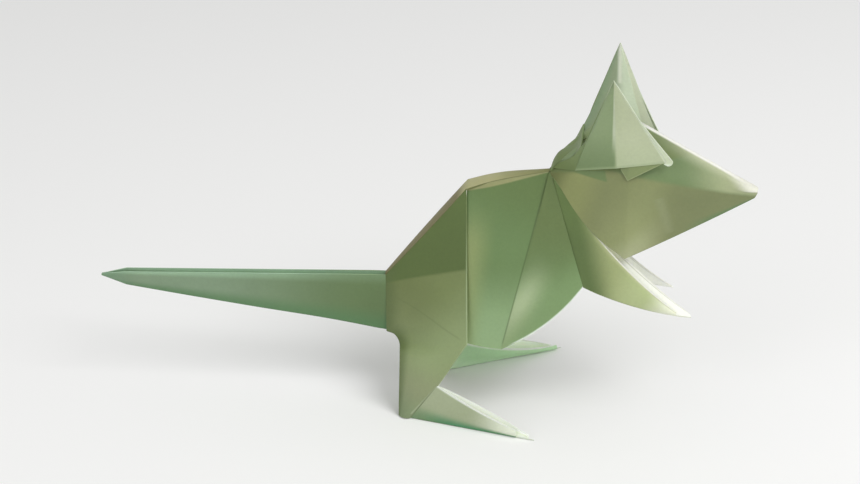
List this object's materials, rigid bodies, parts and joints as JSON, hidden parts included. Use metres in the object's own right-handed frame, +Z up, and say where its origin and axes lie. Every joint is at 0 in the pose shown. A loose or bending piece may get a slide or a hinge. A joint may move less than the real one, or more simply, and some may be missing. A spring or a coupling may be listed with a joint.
{
  "type": "folded paper rat",
  "caption": "Folded-paper rat standing on its hind feet, with a long tapering tail, a pointed snout, cupped ears and small trough-shaped front legs",
  "frame": {"origin": "on the table, at the middle of the length and of the width", "axes": "+X is the way the rat faces, from the tail's tip to the nose; +Z is up; the side towards -Y is the near side in the picture"},
  "size_m": [0.2111, 0.0658, 0.1156],
  "materials": {
    "paper": "thin pale-green translucent paper with a soft silky sheen, whitened along its creases"
  },
  "bodies": {
    "root": {"folded_rat": "paper"}
  },
  "joints": []
}
